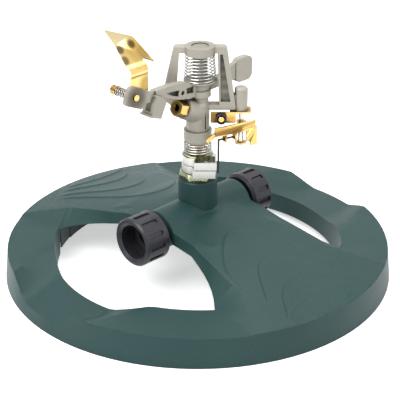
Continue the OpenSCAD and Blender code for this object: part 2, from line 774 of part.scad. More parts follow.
module flap_spring() {
    color(steel_colour)
    arm_frame()
    translate(screw_at) rotate([90, 0, 0])
        coil(3, 0.45, 7.3, flap_t / 2 - flap_y + 0.05, nut_at, 14);
}

module flap_nut() {
    color(brass_colour)
    arm_frame()
    translate(screw_at) rotate([90, 0, 0]) translate([0, 0, nut_at])
        difference() {
            union() {
                cylinder(r = 3.6, h = 1.4);
                for (i = [0:11]) rotate([0, 0, 30 * i]) translate([2.6, -0.4, 1.4]) cube([0.8, 0.8, 3.8]);
                translate([0, 0, 1.4]) cylinder(r = 3, h = 3.8);
                translate([0, 0, 5.2]) cylinder(r1 = 3, r2 = 2.5, h = 0.8);
            }
            translate([0, 0, -1]) cylinder(r = 1.6, h = 9);
        }
}

// ---- Reversing trip ----
strip_a = [12.7, -16];
strip_b = [43.6, 0.6];
strip_turn = atan2(strip_b[1] - strip_a[1], strip_b[0] - strip_a[0]);
strip_len = norm(strip_b - strip_a);
lever_low = 116.4;
lever_top = 123.6;
ear_t = 1.2;
wire_r = 0.75;
leg_z = 112.6;
leg_out = 2.4;
drop_at = 4.6;
leg_len = 15.4;
lug_at = [9, 17.6];

module trip_frame() {
    head_frame() translate([trip_x, 0, 0]) children();
}

module trip_bracket() {
    color(brass_colour)
    difference() {
        union() {
            trip_frame() translate([-8.5, -6.6, trip_low - 1.2]) cube([16, 12, 1.2]);
            head_frame() translate([9.6, -6.6, 124.2]) cube([19, 1.2, trip_low - 124.2]);
            head_frame() translate([17.6, -6, 128.4]) rotate([90, 0, 0]) {
                cylinder(r = 2.4, h = 5);
                translate([0, 0, 5]) cylinder(r1 = 2.4, r2 = 1.6, h = 0.8);
            }
        }
        trip_frame() translate([0, 0, trip_low - 3]) cylinder(r = trip_pin_r, h = 5);
    }
}

module trip_spring() {
    color(steel_colour)
    head_frame() translate([17.6, -6.6, 128.4]) rotate([90, 0, 0]) coil(3.6, 0.45, 3.2, 0, 4.8, 16);
}

module trip_pin() {
    color(steel_colour)
    trip_frame() translate([0, 0, 104.2]) cylinder(r = trip_pin_r, h = trip_low + 6 - 104.2);
}

module trip_clip() {
    color(dark_colour)
    trip_frame() translate([0, 0, trip_low - 2.4])
        difference() {
            cylinder(r = 3.4, h = 1.2);
            translate([0, 0, -1]) cylinder(r = trip_pin_r, h = 4);
        }
}

// Frame of the lever's strip: X along the strip, Y towards the pin.
module strip_frame() {
    head_frame() translate([strip_a[0], strip_a[1], 0]) rotate([0, 0, strip_turn]) children();
}

// Lever plan: a bent strip with two ears that ride on the pin.
module lever_ear(z) {
    trip_frame() translate([0, 0, z])
        linear_extrude(ear_t)
            difference() {
                hull() {
                    circle(r = 3.4);
                    translate([1.2, -4.6]) rotate([0, 0, strip_turn]) translate([-4, 0]) square([8, 1]);
                }
                circle(r = trip_pin_r + running);
            }
}

module trip_lever() {
    color(brass_colour)
    difference() {
        union() {
            strip_frame() {
                for (at = lug_at)
                    translate([at, -0.6, leg_z - 1.9]) cube([1.4, leg_out + 2.5, lever_low - leg_z + 2]);
                translate([0, -0.6, lever_low]) cube([strip_len, ear_t, lever_top - lever_low]);
                translate([-6.4, -0.6, lever_low - 3.4]) rotate([0, -28, 0]) cube([8, ear_t, 3.2]);
                translate([27.4, -0.6, 107.6]) cube([strip_len - 27.4, ear_t, lever_low - 107.6 + 1]);
                translate([30.6, -0.6, 103.8]) cube([strip_len - 29, ear_t, 14.6]);
                translate([strip_len + 0.4, -0.6, 103.8]) cube([1.2, 5, 14.6]);
            }
            lever_ear(lever_top - ear_t);
            lever_ear(lever_low);
        }
        trip_frame() translate([0, 0, 104]) cylinder(r = trip_pin_r + running, h = 30);
        strip_frame() translate([8, leg_out, leg_z]) rotate([0, 90, 0])
            cylinder(r = wire_r + running, h = 30);
    }
}

module trip_spacer() {
    color(steel_colour)
    trip_frame() translate([0, 0, 106.6])
        difference() {
            cylinder(r = 2.2, h = lever_low - 106.6 - pass_gap);
            translate([0, 0, -1]) cylinder(r = trip_pin_r, h = 20);
        }
}

module trip_disc() {
    color(brass_colour)
    trip_frame() translate([0, 0, 105.4])
        difference() {
            cylinder(r = 4.4, h = 1.2);
            translate([0, 0, -1]) cylinder(r = trip_pin_r, h = 4);
        }
}

// Trip wire: a level leg clipped under the lever and a drop that meets the stops.
module trip_wire() {
    color(dark_colour)
    strip_frame() translate([drop_at, leg_out, leg_z]) {
        rotate([0, 90, 0]) cylinder(r = wire_r, h = leg_len);
        sphere(r = wire_r, $fn = 24);
        translate([0, 0, collar_low + 1.6 - leg_z]) cylinder(r = wire_r, h = leg_z - collar_low - 1.6);
    }
}

base_shell();
water_tee();
tee_cradle();
cradle_screw(-1);  // cradle_screw_a
cradle_screw(1);  // cradle_screw_b
inlet_ferrule();
inlet_washer();
inlet_nut();
outlet_cap();
cap_washer();
riser_gasket();
bearing_nipple();
thrust_washer();
bearing_sleeve();
collar_lower();
collar_upper();
bearing_spring();
head_body();
nozzle();
fulcrum_pin();
arm_washer();
swing_arm();
arm_bushing();
arm_spring();
deflector_flap();
flap_screw();
flap_spring();
flap_nut();
trip_bracket();
trip_spring();
trip_pin();
trip_clip();
trip_lever();
trip_spacer();
trip_disc();
trip_wire();
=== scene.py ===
import json
import logging
import math
from dataclasses import dataclass
from enum import Enum
from typing import Sequence

import bmesh
import bpy
import numpy as np
from mathutils import Matrix, Vector


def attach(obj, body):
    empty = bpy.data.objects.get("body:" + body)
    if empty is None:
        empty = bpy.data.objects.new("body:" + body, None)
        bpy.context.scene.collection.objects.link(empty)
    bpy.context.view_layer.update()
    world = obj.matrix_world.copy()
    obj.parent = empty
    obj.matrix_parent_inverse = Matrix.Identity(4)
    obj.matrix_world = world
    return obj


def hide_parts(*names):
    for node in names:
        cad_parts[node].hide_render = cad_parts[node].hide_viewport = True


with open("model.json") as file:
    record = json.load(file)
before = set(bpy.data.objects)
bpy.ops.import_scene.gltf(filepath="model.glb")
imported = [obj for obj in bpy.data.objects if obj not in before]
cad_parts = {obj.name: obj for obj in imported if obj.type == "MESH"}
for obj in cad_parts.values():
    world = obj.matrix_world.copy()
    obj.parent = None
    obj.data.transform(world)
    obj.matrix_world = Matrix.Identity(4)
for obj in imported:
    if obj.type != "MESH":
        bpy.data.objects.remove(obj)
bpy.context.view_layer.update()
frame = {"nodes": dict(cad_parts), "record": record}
MM = 0.001

logging.basicConfig(level=logging.INFO, format="%(name)s: %(message)s")
log = logging.getLogger("sprinkler")

Rgb = tuple[int, int, int]
Rgba = tuple[float, float, float, float]
Spot = tuple[float, float, float]
Socket = bpy.types.NodeSocket
Tree = bpy.types.NodeTree
Feed = Socket | float | Sequence[float]


def linear(srgb: Rgb) -> Rgba:
    """Turn a display colour into the linear colour that a socket takes.

    Args:
        srgb: red, green and blue from 0 to 255.

    Returns:
        Linear red, green, blue and an alpha of one.
    """
    out = []
    for channel in srgb:
        c = channel / 255.0
        out.append(c / 12.92 if c <= 0.04045 else ((c + 0.055) / 1.055) ** 2.4)
    return (out[0], out[1], out[2], 1.0)


# ---------- nodes ----------


class Blend(Enum):
    """What a Mix node blends: its data type, its two input sockets and its output socket."""

    VALUES = ("FLOAT", 2, 3, 0)
    COLOURS = ("RGBA", 6, 7, 2)


def feed(tree: Tree, target: Socket, source: Feed) -> None:
    """Link a socket to another one, or set it where the source is a plain value.

    Args:
        tree: the node tree.
        target: the input socket.
        source: an output socket or a value.
    """
    if isinstance(source, Socket):
        tree.links.new(source, target)
    else:
        target.default_value = source


def blend(tree: Tree, kind: Blend, share: Feed, first: Feed, second: Feed) -> Socket:
    """Blend two values or two colours.

    Args:
        tree: the node tree.
        kind: values or colours.
        share: how much of the second, from zero to one.
        first: the first value or colour.
        second: the second value or colour.

    Returns:
        The socket that holds the blend.
    """
    data_type, low, high, result = kind.value
    node = tree.nodes.new("ShaderNodeMix")
    node.data_type = data_type
    for index, source in ((0, share), (low, first), (high, second)):
        feed(tree, node.inputs[index], source)
    return node.outputs[result]


def spread(tree: Tree, value: Feed, start: Feed = 0.0, end: Feed = 1.0, low: Feed = 0.0,
           high: Feed = 1.0, soft: bool = False) -> Socket:
    """Map the span from start to end onto the span from low to high, held at both ends.

    Args:
        tree: the node tree.
        value: what is mapped.
        start: the value that becomes low.
        end: the value that becomes high.
        low: the result at the start.
        high: the result at the end.
        soft: ease in and out of the span.

    Returns:
        The socket that holds the result.
    """
    node = tree.nodes.new("ShaderNodeMapRange")
    node.interpolation_type = "SMOOTHSTEP" if soft else "LINEAR"
    for label, source in (("Value", value), ("From Min", start), ("From Max", end),
                          ("To Min", low), ("To Max", high)):
        feed(tree, node.inputs[label], source)
    return node.outputs["Result"]


def noise(tree: Tree, place: Socket, scale: Feed, detail: float = 2.0) -> Socket:
    """Lay soft noise over the piece.

    Args:
        tree: the node tree.
        place: where each point lies.
        scale: waves to the metre.
        detail: how many finer layers the noise has.

    Returns:
        The socket that holds the noise, round one half.
    """
    node = tree.nodes.new("ShaderNodeTexNoise")
    for label, source in (("Vector", place), ("Scale", scale), ("Detail", detail)):
        feed(tree, node.inputs[label], source)
    return node.outputs["Fac"]


def combine(tree: Tree, operation: str, first: Feed, second: Feed) -> Socket:
    """Join two numbers by one Math operation.

    Args:
        tree: the node tree.
        operation: the Math node's operation.
        first: the first number.
        second: the second number.

    Returns:
        The socket that holds the result.
    """
    node = tree.nodes.new("ShaderNodeMath")
    node.operation = operation
    feed(tree, node.inputs[0], first)
    feed(tree, node.inputs[1], second)
    return node.outputs[0]


def combine_vectors(tree: Tree, operation: str, first: Feed, second: Feed,
                    result: str = "Vector") -> Socket:
    """Join two vectors by one Vector Math operation.

    Args:
        tree: the node tree.
        operation: the Vector Math node's operation.
        first: the first vector.
        second: the second vector.
        result: the output that is wanted, Vector or Value.

    Returns:
        The socket that holds the result.
    """
    node = tree.nodes.new("ShaderNodeVectorMath")
    node.operation = operation
    feed(tree, node.inputs[0], first)
    feed(tree, node.inputs[1], second)
    return node.outputs[result]


def on_piece(tree: Tree) -> Socket:
    """Where each point lies on its own piece, so that the pattern moves with the piece."""
    return tree.nodes.new("ShaderNodeTexCoord").outputs["Object"]


# ---------- shared shader node groups ----------

FLOAT, COLOUR, VECTOR = "NodeSocketFloat", "NodeSocketColor", "NodeSocketVector"
WHITE: Rgba = (1.0, 1.0, 1.0, 1.0)
BLACK: Rgba = (0.0, 0.0, 0.0, 1.0)
MOTTLE_SPAN = (0.32, 0.68)
ROUGH_SPAN = (0.35, 0.65)
CREVICE_SPAN = (0.25, 0.9)
CREVICE_SAMPLES = 8
PATCH_CORE = 0.4
STREAKS = (200.0, 200.0, 2500.0)

GROUPS: dict[str, Tree] = {}


def new_group(name: str, inputs: Sequence[tuple[str, str, Feed]],
              outputs: Sequence[tuple[str, str]]) -> tuple[Tree, bpy.types.Node, bpy.types.Node]:
    """Make an empty shader node group with named sockets.

    Args:
        name: the group's name.
        inputs: socket name, socket type and default value of each input.
        outputs: socket name and socket type of each output.

    Returns:
        The group, its input node and its output node.
    """
    group = bpy.data.node_groups.new(name, "ShaderNodeTree")
    for label, kind, default in inputs:
        socket = group.interface.new_socket(label, in_out="INPUT", socket_type=kind)
        socket.default_value = default
    for label, kind in outputs:
        group.interface.new_socket(label, in_out="OUTPUT", socket_type=kind)
    return group, group.nodes.new("NodeGroupInput"), group.nodes.new("NodeGroupOutput")


def mottle_group() -> Tree:
    """Colour that drifts between two tones, with soft clouds and fine specks.

    Returns:
        The node group, with output Colour.
    """
    group, start, end = new_group(
        "soft_mottle",
        [("Light", COLOUR, WHITE), ("Dark", COLOUR, BLACK), ("Cloud Scale", FLOAT, 30.0),
         ("Speck Scale", FLOAT, 900.0), ("Speck Share", FLOAT, 0.25)],
        [("Colour", COLOUR)])
    given = start.outputs
    place = on_piece(group)
    clouds = noise(group, place, given["Cloud Scale"], 5.0)
    specks = noise(group, place, given["Speck Scale"])
    drift = spread(group, blend(group, Blend.VALUES, given["Speck Share"], clouds, specks),
                   *MOTTLE_SPAN)
    feed(group, end.inputs["Colour"],
         blend(group, Blend.COLOURS, drift, given["Dark"], given["Light"]))
    return group


def grain_group() -> Tree:
    """Fine relief: orange peel plus streaks that are stretched one way.

    Returns:
        The node group, with outputs Height and Rough.
    """
    group, start, end = new_group(
        "fine_grain",
        [("Peel Scale", FLOAT, 1500.0), ("Streak Scale", VECTOR, STREAKS),
         ("Streak Share", FLOAT, 0.2), ("Rough Low", FLOAT, 0.3), ("Rough High", FLOAT, 0.5)],
        [("Height", FLOAT), ("Rough", FLOAT)])
    given = start.outputs
    place = on_piece(group)
    peel = noise(group, place, given["Peel Scale"])
    streaks = noise(group, combine_vectors(group, "MULTIPLY", place, given["Streak Scale"]), 1.0)
    height = blend(group, Blend.VALUES, given["Streak Share"], peel, streaks)
    feed(group, end.inputs["Height"], height)
    feed(group, end.inputs["Rough"],
         spread(group, height, *ROUGH_SPAN, given["Rough Low"], given["Rough High"]))
    return group


def crevice_group() -> Tree:
    """Darkens a colour where the surface is closed in.

    Returns:
        The node group, with output Colour.
    """
    group, start, end = new_group(
        "crevice_shade",
        [("Colour", COLOUR, WHITE), ("Shade", COLOUR, BLACK), ("Depth", FLOAT, 0.5),
         ("Reach", FLOAT, 0.004)],
        [("Colour", COLOUR)])
    given = start.outputs
    openness = group.nodes.new("ShaderNodeAmbientOcclusion")
    openness.samples = CREVICE_SAMPLES
    feed(group, openness.inputs["Distance"], given["Reach"])
    closed = spread(group, openness.outputs["AO"], *CREVICE_SPAN, given["Depth"], 0.0)
    feed(group, end.inputs["Colour"],
         blend(group, Blend.COLOURS, closed, given["Colour"], given["Shade"]))
    return group


def patch_group() -> Tree:
    """Blends a colour towards a tone inside a soft ball round one point.

    Returns:
        The node group, with output Colour.
    """
    group, start, end = new_group(
        "tone_patch",
        [("Colour", COLOUR, WHITE), ("Tone", COLOUR, BLACK), ("Centre", VECTOR, (0.0, 0.0, 0.0)),
         ("Radius", FLOAT, 0.004), ("Share", FLOAT, 0.5)],
        [("Colour", COLOUR)])
    given = start.outputs
    apart = combine_vectors(group, "DISTANCE", on_piece(group), given["Centre"], "Value")
    core = combine(group, "MULTIPLY", given["Radius"], PATCH_CORE)
    toned = spread(group, apart, core, given["Radius"], given["Share"], 0.0, soft=True)
    feed(group, end.inputs["Colour"],
         blend(group, Blend.COLOURS, toned, given["Colour"], given["Tone"]))
    return group


def place_group(tree: Tree, name: str, **sources: Feed) -> bpy.types.Node:
    """Put a shared group into a material and feed its inputs.

    Args:
        tree: the material's node tree.
        name: which shared group.
        **sources: values or sockets, with underscores for the spaces of the socket names.

    Returns:
        The placed group node.
    """
    node = tree.nodes.new("ShaderNodeGroup")
    node.node_tree = GROUPS[name]
    for key, source in sources.items():
        feed(tree, node.inputs[key.replace("_", " ")], source)
    return node


# ---------- finishes ----------


class Grain(Enum):
    """How the skin of a finish is broken up at close range, as waves of peel to the metre."""

    MOULDED = 1400.0
    CAST = 900.0
    ROLLED = 700.0
    TURNED = 1200.0


@dataclass(frozen=True)
class Patch:
    """A soft ball of another tone, its centre and radius in millimetres in the rest pose."""

    centre: Spot
    radius: float
    share: float
    tone: Rgb


@dataclass(frozen=True)
class Finish:
    """One finish of the sprinkler: its tones, gloss and skin, its reach in millimetres."""

    name: str
    light: Rgb
    dark: Rgb
    shade: Rgb
    rough: tuple[float, float]
    grain: Grain
    metal: float = 0.0
    bump: float = 0.12
    relief: float = 0.4
    cloud: float = 30.0
    specks_per_cloud: float = 30.0
    speck_share: float = 0.25
    crevice: float = 0.5
    streak: float = 0.1
    reach: float = 4.0
    ior: float = 1.5
    patches: tuple[Patch, ...] = ()

    def colour(self, tree: Tree) -> Socket:
        """Mottle the colour, lay the patches over it and shade its crevices.

        Args:
            tree: the material's node tree.

        Returns:
            The socket that holds the colour.
        """
        colour = place_group(
            tree, "soft_mottle", Light=linear(self.light), Dark=linear(self.dark),
            Cloud_Scale=self.cloud, Speck_Scale=self.cloud * self.specks_per_cloud,
            Speck_Share=self.speck_share).outputs["Colour"]
        for patch in self.patches:
            colour = place_group(
                tree, "tone_patch", Colour=colour, Tone=linear(patch.tone), Share=patch.share,
                Radius=patch.radius * MM, Centre=[c * MM for c in patch.centre]).outputs["Colour"]
        return place_group(tree, "crevice_shade", Colour=colour, Shade=linear(self.shade),
                           Depth=self.crevice, Reach=self.reach * MM).outputs["Colour"]

    def build(self) -> bpy.types.Material:
        """Make the material.

        Returns:
            A node material with mottled colour, crevice shade and fine relief.
        """
        material = bpy.data.materials.new(self.name)
        material.use_nodes = True
        tree = material.node_tree
        grain = place_group(tree, "fine_grain", Peel_Scale=self.grain.value,
                            Streak_Share=self.streak, Rough_Low=self.rough[0],
                            Rough_High=self.rough[1])
        bump = tree.nodes.new("ShaderNodeBump")
        bump.inputs["Strength"].default_value = self.bump
        bump.inputs["Distance"].default_value = self.relief * MM
        feed(tree, bump.inputs["Height"], grain.outputs["Height"])
        shader = tree.nodes["Principled BSDF"]
        feed(tree, shader.inputs["Base Color"], self.colour(tree))
        feed(tree, shader.inputs["Roughness"], grain.outputs["Rough"])
        feed(tree, shader.inputs["Normal"], bump.outputs["Normal"])
        shader.inputs["Metallic"].default_value = self.metal
        shader.inputs["IOR"].default_value = self.ior
        return material


# Painted light on the deflector sheet: a painted highlight in cream on the wing, and painted
# reflections in gold, olive and dark brown.
REFLECTED_BROWN: Rgb = (74, 56, 26)
REFLECTED_OLIVE: Rgb = (165, 136, 78)
REFLECTED_GOLD: Rgb = (204, 172, 98)
HIGHLIGHT_CREAM: Rgb = (222, 205, 160)
SHEET_PAINTED_REFLECTIONS = (
    Patch((-60.8, 24.7, 197.9), 19, 0.9, HIGHLIGHT_CREAM),
    Patch((-50, 9, 189), 15, 0.8, REFLECTED_GOLD),
    Patch((-46, 8, 187), 8, 0.6, REFLECTED_OLIVE),
    Patch((-53.2, 13.1, 193.1), 4.6, 0.85, REFLECTED_BROWN),
    Patch((-64.7, 11.8, 191.8), 4.5, 0.8, REFLECTED_BROWN),
    Patch((-65.2, 6.2, 185.2), 5, 0.75, REFLECTED_BROWN),
    Patch((-51, -0.6, 166.5), 10, 0.85, REFLECTED_OLIVE))

# Casting patches: painted shade in the arm's pockets and along the recess of the bridge's column;
# the casting is also darker at the arm's end plate and round the top of the bridge.
END_PLATE: Rgb = (98, 92, 74)
SPRING_CORE: Rgb = (112, 108, 97)
POCKET_SHADE: Rgb = (62, 56, 44)
RECESS_SHADE: Rgb = (92, 88, 76)
RECESS_SHADE_SPOTS: tuple[Spot, ...] = (
    (14.1, -11.9, 172), (14.7, -12.5, 165), (15.2, -13, 158), (15.7, -13.4, 151),
    (15.9, -13.7, 144))
CASTING_PATCHES = (
    Patch((-63.9, -2.3, 159.7), 12.5, 0.95, END_PLATE),
    Patch((1.2, -1.2, 181), 15, 0.4, SPRING_CORE),
    Patch((-28.3, -1.7, 153.6), 3.7, 0.9, POCKET_SHADE),
    Patch((-25.4, -1.6, 153), 3.6, 0.9, POCKET_SHADE),
    Patch((-12, -1.4, 152), 3.9, 0.9, POCKET_SHADE),
    *(Patch(spot, 5.4, 0.8, RECESS_SHADE) for spot in RECESS_SHADE_SPOTS))

# Painted dark reflections on the brass trip plate.
TRIP_DARK_REFLECTIONS = (
    Patch((4.0, -13.1, 128), 8, 0.9, (104, 78, 38)),
    Patch((13.5, -22.5, 126), 6, 0.5, (140, 106, 52)))
# Painted shade and dark reflection on the nozzle's front face.
JET_FACE_SHADE = (Patch((-22.6, -0.4, 140.1), 6.5, 0.85, (70, 50, 24)),)

FINISHES = {
    "shell": Finish(
        "teal_moulding", light=(41, 72, 71), dark=(34, 63, 62), shade=(14, 30, 31),
        rough=(0.38, 0.5), grain=Grain.MOULDED, bump=0.1, cloud=14, speck_share=0.35, ior=1.34),
    "coupling": Finish(
        "black_moulding", light=(52, 53, 60), dark=(37, 37, 44), shade=(11, 11, 14),
        rough=(0.32, 0.44), grain=Grain.MOULDED, bump=0.1, ior=1.45),
    "casting": Finish(
        "grey_casting", light=(182, 178, 166), dark=(168, 163, 150), shade=(52, 48, 40),
        rough=(0.4, 0.52), grain=Grain.CAST, metal=0.1, bump=0.2, cloud=60, crevice=0.9,
        reach=5.0, streak=0.0, patches=CASTING_PATCHES),
    "brass": Finish(
        "bright_brass", light=(238, 202, 128), dark=(222, 180, 104), shade=(70, 46, 18),
        rough=(0.235, 0.25), grain=Grain.ROLLED, metal=1.0, bump=0.004, cloud=25,
        speck_share=0.05, crevice=0.95, reach=6.0, patches=TRIP_DARK_REFLECTIONS),
    "sheet": Finish(
        "sheet_brass", light=(240, 210, 142), dark=(230, 196, 124), shade=(84, 58, 24),
        rough=(0.255, 0.27), grain=Grain.ROLLED, metal=1.0, bump=0.003, cloud=20,
        speck_share=0.05, crevice=0.25, patches=SHEET_PAINTED_REFLECTIONS),
    "jet": Finish(
        "jet_brass", light=(238, 202, 128), dark=(222, 180, 104), shade=(40, 26, 10),
        rough=(0.235, 0.25), grain=Grain.TURNED, metal=1.0, bump=0.004, cloud=25,
        speck_share=0.05, crevice=0.95, reach=6.0, patches=JET_FACE_SHADE),
    "nipple": Finish(
        "passivated_brass", light=(224, 230, 200), dark=(190, 194, 132), shade=(74, 80, 34),
        rough=(0.2, 0.3), grain=Grain.TURNED, metal=1.0, bump=0.02, cloud=60, crevice=0.9),
    "steel": Finish(
        "drawn_steel", light=(226, 225, 221), dark=(204, 203, 199), shade=(66, 64, 60),
        rough=(0.26, 0.36), grain=Grain.TURNED, metal=1.0, bump=0.02, cloud=50, crevice=0.9,
        reach=2.5),
    "blackened": Finish(
        "blackened_steel", light=(74, 72, 74), dark=(50, 49, 52), shade=(20, 20, 22),
        rough=(0.28, 0.42), grain=Grain.TURNED, metal=0.8, bump=0.05, cloud=80),
    "rubber": Finish(
        "black_rubber", light=(34, 33, 34), dark=(24, 23, 24), shade=(8, 8, 8),
        rough=(0.55, 0.7), grain=Grain.MOULDED),
    "sleeve_grey": Finish(
        "grey_sleeve", light=(142, 140, 132), dark=(126, 124, 116), shade=(60, 58, 52),
        rough=(0.35, 0.5), grain=Grain.TURNED),
    "pale": Finish(
        "pale_washer", light=(236, 234, 226), dark=(222, 219, 209), shade=(150, 148, 138),
        rough=(0.4, 0.55), grain=Grain.MOULDED),
}


# ---------- mesh helpers ----------

WELD_GAP = 2e-6
FLAT_DEGREES = 0.4
ROUNDED_DEGREES = 32.0
SHARP_DEGREES = 38.0
FACE_WEIGHT = 80


def merged_copy(node: str, name: str) -> bpy.types.Object:
    """Copy a CAD node's mesh with its split corners welded and flat faces joined.

    Args:
        node: the CAD node.
        name: the new piece's name.

    Returns:
        The new object, linked to the scene.
    """
    source = frame["nodes"][node]
    mesh = source.data.copy()
    mesh.name = name
    form = bmesh.new()
    form.from_mesh(mesh)
    bmesh.ops.remove_doubles(form, verts=form.verts, dist=WELD_GAP)
    bmesh.ops.dissolve_limit(form, angle_limit=math.radians(FLAT_DEGREES), verts=form.verts,
                             edges=form.edges)
    form.to_mesh(mesh)
    form.free()
    piece = bpy.data.objects.new(name, mesh)
    bpy.context.scene.collection.objects.link(piece)
    return piece


def apply_modifiers(piece: bpy.types.Object) -> None:
    """Bake a piece's modifiers into its mesh.

    Args:
        piece: the piece.
    """
    graph = bpy.context.evaluated_depsgraph_get()
    shaped = bpy.data.meshes.new_from_object(piece.evaluated_get(graph))
    piece.modifiers.clear()
    old = piece.data
    piece.data = shaped
    shaped.name = old.name
    bpy.data.meshes.remove(old)


def soften(piece: bpy.types.Object, width: float, steps: int = 2) -> None:
    """Round a piece's edges and shade it smoothly between its sharp ones.

    Args:
        piece: the piece.
        width: the rounding in millimetres; none when zero.
        steps: segments of each rounding.
    """
    if width > 0:
        rounding = piece.modifiers.new("edge_rounding", "BEVEL")
        rounding.width = width * MM
        rounding.segments = steps
        rounding.limit_method = "ANGLE"
        rounding.angle_limit = math.radians(ROUNDED_DEGREES)
        rounding.use_clamp_overlap = True
        rounding.miter_outer = "MITER_ARC"
        apply_modifiers(piece)
    piece.data.shade_smooth()
    piece.data.set_sharp_from_angle(angle=math.radians(SHARP_DEGREES))
    if width > 0:
        flat = piece.modifiers.new("flat_faces", "WEIGHTED_NORMAL")
        flat.keep_sharp = True
        flat.weight = FACE_WEIGHT
        apply_modifiers(piece)


def smooth_step(value: np.ndarray) -> np.ndarray:
    """Ease from zero to one over the same span of the input.

    Args:
        value: any numbers.

    Returns:
        Numbers from zero to one.
    """
    t = np.clip(value, 0.0, 1.0)
    return t * t * (3 - 2 * t)


class Workshop:
    """Holds the built materials and the body and slot of each CAD node."""

    def __init__(self) -> None:
        """Build the shared groups and the finishes."""
        GROUPS["soft_mottle"] = mottle_group()
        GROUPS["fine_grain"] = grain_group()
        GROUPS["crevice_shade"] = crevice_group()
        GROUPS["tone_patch"] = patch_group()
        self.materials = {slot: finish.build() for slot, finish in FINISHES.items()}
        record = frame["record"]
        self.slots = {row["node"]: row["material_slot"] for row in record["subparts"]}
        self.bodies = {node: body for body, nodes in record["behaviour"]["bodies"].items()
                       for node in nodes}

    def dress(self, piece: bpy.types.Object, node: str, finish: str = "") -> bpy.types.Object:
        """Give a piece the material of its node's slot, or a finish of its own, and its node's
        body, and hide the node.

        Args:
            piece: the new piece.
            node: the CAD node whose body and slot's material it takes.
            finish: a finish of its own, when not the slot's.

        Returns:
            The same piece.
        """
        slot = self.slots[node]
        piece.data.materials.clear()
        piece.data.materials.append(self.materials[finish or slot])
        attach(piece, self.bodies[node])
        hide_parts(node)
        log.info("%s rides on %s, %d faces", piece.name, self.bodies[node],
                 len(piece.data.polygons))
        return piece

    def refine(self, node: str, name: str, width: float, steps: int = 2,
               finish: str = "") -> bpy.types.Object:
        """Stand a softened copy in for a CAD node.

        Args:
            node: the CAD node.
            name: the piece's name.
            width: edge rounding in millimetres; none when zero.
            steps: segments of each rounding.
            finish: a finish of its own, when not the slot's.

        Returns:
            The new piece.
        """
        piece = merged_copy(node, name)
        soften(piece, width, steps)
        return self.dress(piece, node, finish)


# ---------- the sprinkler, sizes in millimetres ----------

NO_ROUNDING = 0.0


@dataclass(frozen=True)
class LeafStep:
    """One stepped leaf outline on a lobe, on plan, the lobe towards -Y."""

    outline: tuple[tuple[float, float], ...]
    rise: float = 0.8
    ease: float = 1.3
    fall: float = 13.0
    fade_in: float = 0.1
    fade_out: float = 0.12
    points_per_span: int = 10

    def curve(self) -> np.ndarray:
        """Run a smooth curve through the outline.

        Returns:
            The curve's points, one row each.
        """
        knots = np.array(self.outline)
        ends = np.vstack([2 * knots[0] - knots[1], knots, 2 * knots[-1] - knots[-2]])
        t = np.linspace(0, 1, self.points_per_span, endpoint=False)[:, None]
        spans = []
        for a, b, c, d in zip(ends, ends[1:], ends[2:], ends[3:]):
            spans.append(0.5 * (2 * b + (c - a) * t + (2 * a - 5 * b + 4 * c - d) * t ** 2
                                + (3 * b - a - 3 * c + d) * t ** 3))
        return np.vstack(spans + [knots[-1:]])

    def lift(self, plan: np.ndarray) -> np.ndarray:
        """Height that this leaf adds at points of the lobe.

        Args:
            plan: points on plan, one row each.

        Returns:
            The rise at each point: a step at the outline that dies away inside it.
        """
        curve = self.curve()
        start, along = curve[:-1], np.diff(curve, axis=0)
        length = np.einsum("ij,ij->i", along, along)
        reach = plan[:, None, :] - start[None, :, :]
        share = np.clip(np.einsum("nij,ij->ni", reach, along) / length, 0, 1)
        gap = reach - share[:, :, None] * along[None, :, :]
        apart = np.linalg.norm(gap, axis=2)
        nearest = apart.argmin(axis=1)
        rows = np.arange(len(plan))
        near, way = reach[rows, nearest], along[nearest]
        inside = np.sign(near[:, 0] * way[:, 1] - near[:, 1] * way[:, 0])
        depth = inside * apart[rows, nearest]
        done = (nearest + share[rows, nearest]) / len(along)
        ends = smooth_step(done / self.fade_in) * smooth_step((1 - done) / self.fade_out)
        slope = np.exp(-np.clip(depth, 0, None) / self.fall)
        return self.rise * smooth_step(depth / self.ease) * slope * ends


